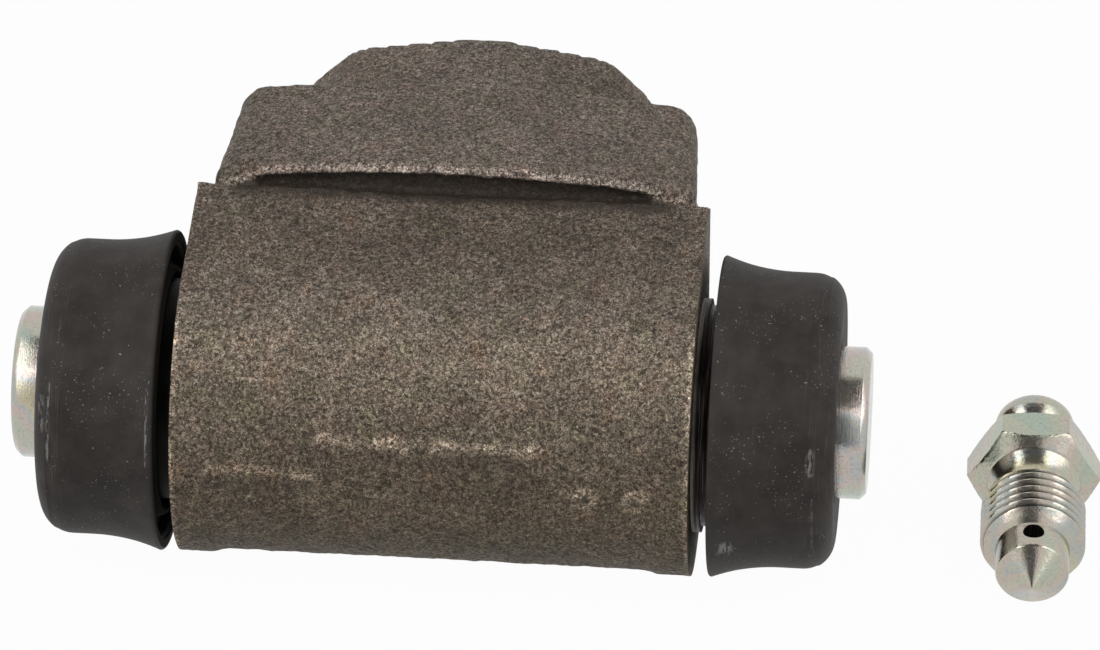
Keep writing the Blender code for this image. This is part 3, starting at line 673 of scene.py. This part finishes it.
def groove_paint(co):
    """Painted shade in the groove under the ledge at each point, and a painted highlight along the ledge's
    ragged edge.
    """
    x, y, z = co.T
    crest_y, crest_z = NECK_PEAK
    rise, lean = math.cos(ELEVATION), math.sin(ELEVATION)
    above = (z - crest_z) * rise + (y - crest_y) * lean
    mouth = (ledge_low(x) - crest_z) * rise + (LEDGE_Y - crest_y) * lean
    mouth = mouth * (1 - smoothstep(0.0165, 0.0219, np.abs(x)))
    wander = 0.0003 * noise_at(co, 0.0015, 8.0)
    here = (y > crest_y - 0.0026) & (y < -0.0226) & (z > 0.0140)
    dark = smoothstep(-0.0016, 0.0002, above + wander)
    dark = dark * (1 - smoothstep(mouth - 0.0001, mouth + 0.0002, above))
    dark = dark * (1 - smoothstep(0.0195, 0.0220, np.abs(x))) * here
    bright = np.exp(-(((above - mouth - 0.00045 + wander * 0.6) / 0.00052) ** 2))
    bright = bright * (np.abs(y - LEDGE_Y) < 0.0021)
    return dark, bright * (0.85 + 0.5 * noise_at(co, 0.0011, 10.0))


def filled_housing(skin):
    """A copy of the housing with solids laid over its holes and over the ends of the groove."""
    body = link("cast_body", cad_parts["housing"].data.copy(), skin)
    wide = PORT_R + PORT_CHAMFER * 1.5
    plugs = [(0.0, BLEED_PORT_Z, wide, -AXIS_Y), (0.0, INLET_PORT_Z, wide, -AXIS_Y)]
    for side in (-1, 1):
        plugs.append((side * BOLT_SPACING / 2, BOLT_Z, BOLT_HOLE_R * 1.2, BOLT_HOLE_DEPTH * 1.2))
    fills = [cylinder_cutter("plug", x, z, [(0.0, radius), (depth, radius)]) for x, z, radius, depth in plugs]
    core_r = BORE_R + 0.0003
    fills.append(grid_surface("core", turned_rings([(-BORE_END, core_r), (BORE_END, core_r)], 48)))
    fills += [groove_end(side) for side in (-1, 1)]
    bm = bmesh.new()
    bm.from_mesh(body.data)
    for fill in fills:
        bm.from_mesh(fill.data)
        bpy.data.objects.remove(fill)
    bm.to_mesh(body.data)
    bm.free()
    return body


def roughen(mesh):
    """Rounds the edges, raises the grain and the marks, and stores the worn edges with the painted
    highlights, and the painted shade, for the material.
    """
    kept = snapped(points_of(mesh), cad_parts["housing"].data, SKIN_VOXEL)
    pairs = edges_of(mesh)
    x, y, z = kept.T
    at_ledge = (np.abs(y - LEDGE_Y) < 0.0016) & (z > ledge_low(x) - 0.0013)
    peak = np.exp(-((np.hypot(y - NECK_PEAK[0], z - NECK_PEAK[1]) / 0.0015) ** 2)) * ~at_ledge
    end = smoothstep(HALF_BODY - 0.0012, HALF_BODY - 0.0006, np.abs(x))
    soft = np.where(at_ledge, 0.2, 0.6) * (1 - end)
    co = kept.copy()
    for k in range(CREST_PASSES):
        weight = soft if k < EDGE_PASSES else 0.0
        co = co + (neighbour_mean(co, pairs) - co) * np.maximum(weight, peak * 0.9)[:, None]
    put_points(mesh, co)
    along = normals_of(mesh)
    hollow = ((neighbour_mean(co, pairs) - co) * along).sum(1)
    hollow = spread(hollow, pairs, 3) / HOLLOW_DEPTH
    marks, paint, shade = cast_marks(co)
    dark, bright = groove_paint(co)
    # Painted highlights along the end rims below the neck and along the pad's back edge
    rim = smoothstep(HALF_BODY - 0.00095, HALF_BODY - 0.0007, np.abs(x)) * (1 - smoothstep(0.0130, 0.0150, z))
    pad_edge = (np.abs(y - PAD_BACK_Y) < 0.0003) & (z > 0.0190)
    front = np.clip(-hollow, 0, 1) * np.where(at_ledge, 0.2, 0.45)
    uneven_wear_and_highlight = 0.75 + 0.6 * noise_at(co, 0.0022, 9.0)
    # Lighter convex edges and the plates' pale ridges, with the painted highlights of the ledge's edge, the
    # end rims and the pad's back edge
    rubbed = front + paint * 0.9 + bright + (rim * 1.1 + pad_edge * 0.6) * uneven_wear_and_highlight
    # Painted shade in hollows, in the groove under the ledge, below the plates and over the pips
    sheltered = np.clip(hollow, 0, 1) * 0.8 * ~at_ledge + dark + shade
    keep_values(mesh, rubbed=rubbed, sheltered=sheltered)
    lift = LUMP_HEIGHT * noise_at(co, LUMP_SIZE, 1.0) + PEBBLE_HEIGHT * noise_at(co, PEBBLE_SIZE, 2.0)
    lift += PEBBLE_HEIGHT * 0.8 * noise_at(co, PEBBLE_SIZE * 0.6, 3.0)
    co = co + along * ((lift - PEBBLE_HEIGHT) * (1 - 0.7 * end) + marks)[:, None]
    ragged = 0.00024 * noise_at(co, 0.0016, 5.0) + 0.00016 * noise_at(co, 0.0007, 6.0)
    co[:, 2] += np.where(at_ledge, ragged, 0.0)
    co[:, 1] -= np.where(at_ledge, ragged * 0.6, 0.0)
    co[:, 0] += np.sign(x) * 0.0004 * end
    # The boss's end face stays flat, and nothing passes the part's own box
    co[y > -0.00025, 1] = -0.00002
    co[:, 1] = np.maximum(co[:, 1], AXIS_Y + BASE_Z)
    co[:, 2] = np.clip(co[:, 2], BASE_Z, PAD_TOP_Z)
    put_points(mesh, co)


def machine_faces(body, skin, machined):
    """Cuts the ends flat, joins on the turned seats, and cuts the ports, the bolt holes and the bore."""
    over = BORE_END + 0.001
    wide = 0.026
    for side in (-1, 1):
        face = [(side * (HALF_BODY - FACE_CUT), wide), (side * (over + 0.001), wide)]
        carve(body, grid_surface("facing_cut", turned_rings(face, 160)), skin)
        carve(body, grid_surface("seat", turned_rings(seat_outline(side), 128)), machined, "UNION")
    cutters = [("bleed_cut", 0.0, BLEED_PORT_Z, port_cut()), ("inlet_cut", 0.0, INLET_PORT_Z, port_cut())]
    for side in (-1, 1):
        cutters.append((f"bolt_cut_{side}", side * BOLT_SPACING / 2, BOLT_Z, bolt_cut()))
    for name, at_x, at_z, profile in cutters:
        carve(body, cylinder_cutter(name, at_x, at_z, profile), machined)
    carve(body, grid_surface("bore_cut", turned_rings([(-over, BORE_R), (over, BORE_R)], 96)), machined)


def make_casting(skin, machined):
    """The housing with the rough skin, rounded edges and low marks of a sand casting, and machined faces."""
    body = filled_housing(skin)
    remesh = body.modifiers.new("skin", "REMESH")
    remesh.mode = "VOXEL"
    remesh.voxel_size = SKIN_VOXEL
    settle(body)
    roughen(body.data)
    machine_faces(body, skin, machined)
    body.data.shade_smooth()
    body.data.set_sharp_from_angle(angle=math.radians(50))
    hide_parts("housing")
    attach(body, "housing")


def port_cut():
    """A threaded port with its chamfer, its cone and the drilled passage to the bore, as (depth, radius)."""
    cone = PORT_R - PASSAGE_R
    crest = PORT_R + 0.00035
    profile = [(-0.001, PORT_R + PORT_CHAMFER), (0.0, PORT_R + PORT_CHAMFER), (PORT_CHAMFER, PORT_R)]
    for turn in range(10):
        at = PORT_CHAMFER + 0.0003 + turn * 0.001
        profile += [(at, PORT_R), (at + 0.0004, crest), (at + 0.0005, crest), (at + 0.0009, PORT_R)]
    return profile + [(PORT_DEPTH, PORT_R), (PORT_DEPTH + cone, PASSAGE_R), (-AXIS_Y, PASSAGE_R)]


def bolt_cut():
    """A blind threaded hole for a mounting screw, as (depth, radius)."""
    crest = BOLT_HOLE_R + 0.0003
    profile = [(-0.001, BOLT_HOLE_R + 0.0004), (0.0, BOLT_HOLE_R + 0.0004), (0.0004, BOLT_HOLE_R)]
    for turn in range(11):
        at = 0.0006 + turn * 0.001
        profile += [(at, BOLT_HOLE_R), (at + 0.0004, crest), (at + 0.0005, crest), (at + 0.0009, BOLT_HOLE_R)]
    return profile + [(BOLT_HOLE_DEPTH, BOLT_HOLE_R), (BOLT_HOLE_DEPTH * 1.1, 0.0002)]


def carve(body, cutter, look, operation="DIFFERENCE"):
    """Cuts a shape out of the body, or joins it on; the new faces take the shape's material."""
    cutter.data.materials.append(look)
    cut = body.modifiers.new("cut", "BOOLEAN")
    cut.operation = operation
    cut.solver = "MANIFOLD"
    cut.material_mode = "TRANSFER"
    cut.object = cutter
    settle(body)
    bpy.data.objects.remove(cutter)


# Boots


def boot_outline():
    """The boot's wall as a closed (x, radius) line: bead, outside, lip, and back inside."""
    rim_x = HALF_BODY + 0.0015
    rim_r = 0.01485
    outer = [(rim_x, 0.0113), (rim_x, 0.0117), (rim_x + 0.0012, 0.0122), (rim_x + 0.0012, 0.0134)]
    outer += [(rim_x, 0.0141), (rim_x, rim_r)] + arc((rim_x + 0.0003, rim_r), 0.0003, 180, 90, 4)
    for k in range(1, 17):
        share = k / 16
        outer.append((rim_x + 0.0003 + 0.0064 * share, 0.0140 + 0.00115 * (1 - share) ** 2))
    outer += arc((BOOT_FACE - 0.0029, 0.0140 - 0.0029), 0.0029, 90, 8, 12)
    outer += [(0.0371, 0.00785), (0.0369, 0.00745), (0.0367, 0.0068)]
    inner = [(0.0359, 0.0068), (0.0355, 0.00745), (0.0358, 0.0111)]
    inner += [(0.0345, 0.0124), (0.0294, 0.0124), (0.02835, 0.0113)]
    return outer + inner


def make_boot(side, look):
    """A dust boot; the left one has sagged a little and leans in at the top, as in the photograph."""

    def wobble(x, angles):
        away = abs(x) - HALF_BODY
        wave = 0.00007 * np.sin(2 * angles + 1.3 * side) + 0.00004 * np.sin(3 * angles + 40 * away)
        return (wave - 0.0001) * min(1.0, away / 0.004) * (1 if away < 0.0118 else 0)

    word = "left" if side < 0 else "right"
    profile = [(side * x, r) for x, r in sampled(boot_outline(), 0.0004)]
    boot = grid_surface(f"{word}_boot", turned_rings(profile, 160, wobble), look, closed=True)
    mesh = boot.data
    co = points_of(mesh)
    away = np.abs(co[:, 0])
    radius = np.hypot(co[:, 1] - AXIS_Y, co[:, 2])
    degrees = np.degrees(np.arctan2(co[:, 2], AXIS_Y - co[:, 1]))
    # Where the painted shade goes: the bead, the rim's face towards the body and the inside near the bead
    hollow = (away < HALF_BODY + 0.00152) & (radius < 0.01492)
    hollow |= (away < HALF_BODY + 0.0036) & (radius < 0.0138)
    corner = smoothstep(0.0338, 0.0352, away)
    scuff = np.zeros(len(co))
    for where, x, width, low, high in BOOT_SCUFFS:
        if where == side:
            between = smoothstep(low - 4, low, degrees) * (1 - smoothstep(high, high + 4, degrees))
            scuff += np.exp(-(((away - x) / width) ** 2)) * between
    keep_values(mesh, hollow=hollow, scuff=scuff, corner=corner)
    if side < 0:
        co[:, 0] += BOOT_LEAN * smoothstep(0.030, 0.037, away) * (co[:, 2] + 0.015) / 0.03
        co[:, 2] = np.maximum(co[:, 2] - BOOT_SAG, BASE_Z)
        put_points(mesh, co)
    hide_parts(f"{word}_dust_boot")
    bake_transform(boot)


# Pistons


def make_piston(side, look):
    """A piston with its skirt in the bore, and the plated stub with the boot's groove outside."""
    groove_r = 0.0065
    profile = [(0.0133, 0.0001), (0.0133, 0.0088)] + arc((0.0137, 0.00888), 0.0005, 180, 90, 4)
    profile += [(0.0324, 0.00938), (0.0329, 0.0089), (0.0329, STUB_R)]
    profile += [(0.0354, STUB_R), (0.0354, groove_r), (0.0372, groove_r), (0.0372, STUB_R)]
    profile += [(0.03947, STUB_R), (0.03955, 0.00712), (0.04006, 0.00664)]
    profile += [(STUB_END, 0.00655), (STUB_END, 0.0001)]
    name = "left_piston" if side < 0 else "right_piston"
    piston = grid_surface(f"{name}_turned", turned_rings([(side * x, r) for x, r in profile], 128), look)
    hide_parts(name)
    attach(piston, name)


# Spring


def make_spring_half(side, look):
    """Half of the coil, from the middle out towards its own piston."""
    turns = 3.5
    wire = 0.0004
    coil_r = 0.00535
    reach = 0.0085
    steps = int(turns * 40)
    closed = 1 / turns
    pitch = wire * 2.2
    tube = np.linspace(0, math.tau, 10, endpoint=False)
    along = np.array([1.0, 0, 0])
    rings = []
    for k in range(steps + 1):
        share = k / steps
        angle = side * math.tau * turns * share
        x = (reach - pitch) * share / (1 - closed)
        if share >= 1 - closed:
            x = reach - pitch * (1 - share) / closed
        out = np.array([0.0, math.cos(angle), math.sin(angle)])
        middle = np.array([side * x, AXIS_Y, 0.0]) + out * coil_r
        rings.append(middle + wire * (np.cos(tube)[:, None] * out + np.sin(tube)[:, None] * along))
    word = "left" if side < 0 else "right"
    half = grid_surface(f"{word}_coil", rings, look)
    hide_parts("return_spring")
    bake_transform(half)


# Bleed screw


def axial_ring(x, radius, segments=SCREW_SEGMENTS):
    """A ring about the X axis at this x; the radius may change from point to point."""
    angles = np.linspace(0, math.tau, segments, endpoint=False)
    return np.stack([np.full(segments, x), radius * np.cos(angles), radius * np.sin(angles)], 1)


def screw_rings():
    """The outside of the bleed screw from the tip of its cone to the end of its nipple."""
    angles = np.linspace(0, math.tau, SCREW_SEGMENTS, endpoint=False)
    start, end = THREAD_SPAN
    rings = [axial_ring(x, r) for x, r in SCREW_TIP]
    for x in np.arange(0.0058, 0.01265, THREAD_PITCH / 14):
        lathe = np.interp(x, [0.0055, start, end, end + 0.0006], [0.0036, SCREW_R, SCREW_R, 0.0042])
        phase = (x / THREAD_PITCH - angles / math.tau) % 1.0
        crest = np.clip((np.abs(phase - 0.5) * 2 - 0.06) / 0.82, 0, 1)
        rings.append(axial_ring(x, np.minimum(SCREW_R - THREAD_DEPTH * (1 - crest), lathe)))
    rings += [axial_ring(x, r) for x, r in SCREW_NECK]
    sector = np.abs((angles % math.radians(60)) - math.radians(30))
    hexagon = HALF_FLATS / np.cos(sector)
    corner_r = HALF_FLATS / math.cos(math.radians(30))
    front, back = HEX_SPAN
    stations = [np.linspace(front, 0.0168, 14), np.linspace(0.0172, 0.0185, 4), np.linspace(0.0189, back, 10)]
    for x in np.concatenate(stations):
        front_r = np.interp(x, [front, 0.0167], [0.0045, corner_r + 0.00005])
        back_r = HALF_FLATS * 0.965 + (back - x) / math.tan(math.radians(30))
        rings.append(axial_ring(x, np.minimum(hexagon, min(front_r, back_r, corner_r))))
    return rings + [axial_ring(x, r) for x, r in SCREW_NIPPLE]


def make_screw(look, inside):
    """The bleed screw with thread, hexagon, nipple and drilled holes, made along +X and then laid down."""
    screw = grid_surface("bleed_screw_turned", screw_rings(), look, sharp=28)
    made = points_of(screw.data)
    depth_share = (SCREW_R - np.hypot(made[:, 1], made[:, 2])) / THREAD_DEPTH
    in_thread = (made[:, 0] > THREAD_SPAN[0]) & (made[:, 0] < THREAD_SPAN[1] + 0.0002)
    # Painted shade, deeper towards the bottom of each thread root
    keep_values(screw.data, root=smoothstep(0.25, 0.80, depth_share) * in_thread * 0.85)
    bore = [axial_ring(x, DRILLED_R, 40) for x in (CROSS_HOLE_X, 0.027)]
    carve(screw, grid_surface("screw_bore", bore), inside)
    a = np.linspace(0, math.tau, 40, endpoint=False)
    across, along = CROSS_HOLE_R * np.sin(a), CROSS_HOLE_X + CROSS_HOLE_R * np.cos(a)
    hole = [np.stack([along, across, np.full(40, z)], 1) for z in (-0.005, 0.005)]
    carve(screw, grid_surface("screw_hole", hole), inside)
    tilt = math.asin((HALF_FLATS - SCREW_R) / (HEX_REST_X - THREAD_SPAN[0]))
    turn = Matrix.Rotation(SCREW_TURN, 4, "Z") @ Matrix.Rotation(-tilt, 4, "Y")
    rest_z = BASE_Z + HALF_FLATS * math.cos(tilt) - HEX_REST_X * math.sin(tilt)
    place = Matrix.Translation((*SCREW_PLACE, rest_z))
    screw.data.transform(place @ turn)
    screw.data.shade_smooth()
    screw.data.set_sharp_from_angle(angle=math.radians(28))
    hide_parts("bleed_screw")
    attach(screw, "housing")


# Stage


def make_stage():
    """The white floor, and a world that is white to the camera and to reflections but dim as a light."""
    mesh = bpy.data.meshes.new("paper_floor")
    reach = 6.0
    corners = [(-reach, -reach), (reach, -reach), (reach, reach), (-reach, reach)]
    mesh.from_pydata([(x, y, BASE_Z - 0.00002) for x, y in corners], [], [(0, 1, 2, 3)])
    link("paper_floor", mesh, floor_look())

    world = bpy.data.worlds.new("studio")
    bpy.context.scene.world = world
    world.use_nodes = True
    tree = world.node_tree
    background = tree.nodes["Background"]
    path = tree.nodes.new("ShaderNodeLightPath")
    seen = tree.nodes.new("ShaderNodeMath")
    seen.operation = "MAXIMUM"
    tree.links.new(path.outputs["Is Camera Ray"], seen.inputs[0])
    tree.links.new(path.outputs["Is Glossy Ray"], seen.inputs[1])
    strength = tree.nodes.new("ShaderNodeMapRange")
    tree.links.new(seen.outputs[0], strength.inputs["Value"])
    strength.inputs["To Min"].default_value = WORLD_FILL
    strength.inputs["To Max"].default_value = 1.0
    tree.links.new(strength.outputs[0], background.inputs["Strength"])
    background.inputs["Color"].default_value = (1.0, 1.0, 1.0, 1.0)


def dark_card(name, azimuth, elevations, half_width, distance, shade):
    """A dark card that only reflections see, as the openings of a light tent; its place is in degrees."""
    a, half = math.radians(azimuth), distance * math.tan(math.radians(half_width))
    out = Vector((math.sin(a), -math.cos(a), 0.0)) * distance
    across = Vector((math.cos(a), math.sin(a), 0.0)) * half
    base = Vector((MIDDLE_X, AXIS_Y, BASE_Z))
    low, high = (max(0.0002, distance * math.tan(math.radians(e))) for e in elevations)
    places = ((-1, low), (1, low), (1, high), (-1, high))
    finish_card(name, [base + out + across * s + Vector((0, 0, z)) for s, z in places], shade)


def top_card(name, height, half_width, reach, shade):
    """The dark part of the tent's ceiling, between the two side lights; only reflections see it."""
    front, back = reach
    places = ((-1, front), (1, front), (1, back), (-1, back))
    finish_card(name, [(s * half_width + 0.02, AXIS_Y + y, height) for s, y in places], shade)


def finish_card(name, corners, shade):
    """A four-cornered card of this shade that nothing but reflections sees."""
    mesh = bpy.data.meshes.new(name)
    mesh.from_pydata(corners, [], [(0, 1, 2, 3)])
    look = Look(f"{name}_cloth", Base_Color=(shade, shade, shade, 1.0), Roughness=0.9, Specular_IOR_Level=0.0)
    card = link(name, mesh, look.material)
    for ray in ("camera", "diffuse", "shadow", "transmission", "volume_scatter"):
        setattr(card, f"visible_{ray}", False)


def softbox(name, azimuth, elevation, distance, size, power, hidden=False):
    """An area light aimed at the middle of the part; a hidden one doesn't show in reflections."""
    light = bpy.data.lights.new(name, "AREA")
    light.shape = "RECTANGLE"
    light.size, light.size_y = size
    light.energy = power
    lamp = bpy.data.objects.new(name, light)
    lamp.visible_glossy = not hidden
    bpy.context.scene.collection.objects.link(lamp)
    a, e = math.radians(azimuth), math.radians(elevation)
    away = Vector((math.sin(a) * math.cos(e), -math.cos(a) * math.cos(e), math.sin(e)))
    lamp.location = Vector((MIDDLE_X, AXIS_Y, 0.0)) + away * distance
    lamp.rotation_euler = away.to_track_quat("Z", "Y").to_euler()


def make_camera():
    """The camera fitted to the photograph, which looks down at the front from a little to the right."""
    level = math.cos(ELEVATION)
    back = Vector((math.sin(AZIMUTH) * level, -math.cos(AZIMUTH) * level, math.sin(ELEVATION)))
    right = Vector((math.cos(AZIMUTH), math.sin(AZIMUTH), 0.0))
    up = back.cross(right)
    aim = Vector((0.0, AXIS_Y, 0.0))
    aim += right * (FRAME_MIDDLE_PX[0] - AXIS_MIDDLE_PX[0]) / PX_PER_M
    aim += up * (AXIS_MIDDLE_PX[1] - FRAME_MIDDLE_PX[1]) / PX_PER_M
    data = bpy.data.cameras.new("photo_camera")
    data.sensor_width = SENSOR_MM
    data.lens = SENSOR_MM * PX_PER_M * DISTANCE / FRAME_WIDTH_PX
    data.clip_start = 0.01
    data.clip_end = 30.0
    camera = bpy.data.objects.new("photo_camera", data)
    bpy.context.scene.collection.objects.link(camera)
    camera.location = aim + back * DISTANCE
    camera.rotation_euler = (math.pi / 2 - ELEVATION, 0.0, AZIMUTH)
    bpy.context.scene.camera = camera


def main():
    skin, machined = cast_iron_look(), machined_iron_look()
    make_casting(skin, machined)
    rubber = boot_look()
    piston_zinc = zinc_look("piston_zinc", 0.8, True)
    screw_zinc = zinc_look("screw_zinc", 0.75, False)
    coil = spring_look()
    for side in (-1, 1):
        make_boot(side, rubber)
        make_piston(side, piston_zinc)
        make_spring_half(side, coil)
    make_screw(screw_zinc, machined)
    seal = seal_look()
    for name in ("left_cup_seal", "right_cup_seal"):
        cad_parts[name].material_slots[0].material = seal
    for name in ("left_cup_expander", "right_cup_expander"):
        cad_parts[name].material_slots[0].material = coil
    make_stage()
    # Azimuth and elevation in degrees, distance, size and power
    softbox("left_key", -64, 40, 0.85, (0.95, 0.9), 4.7)
    softbox("right_key", 66, 40, 0.85, (0.95, 0.9), 4.3)
    softbox("front_key", 0, 50, 0.95, (0.8, 0.3), 1.8, hidden=True)
    dark_card("front_gap", 0, (0, 50), 15.5, 0.55, 0.22)
    top_card("top_gap", 0.62, 0.28, (-0.44, 0.18), 0.28)
    bpy.context.scene.view_settings.view_transform = "Standard"
    make_camera()


main()
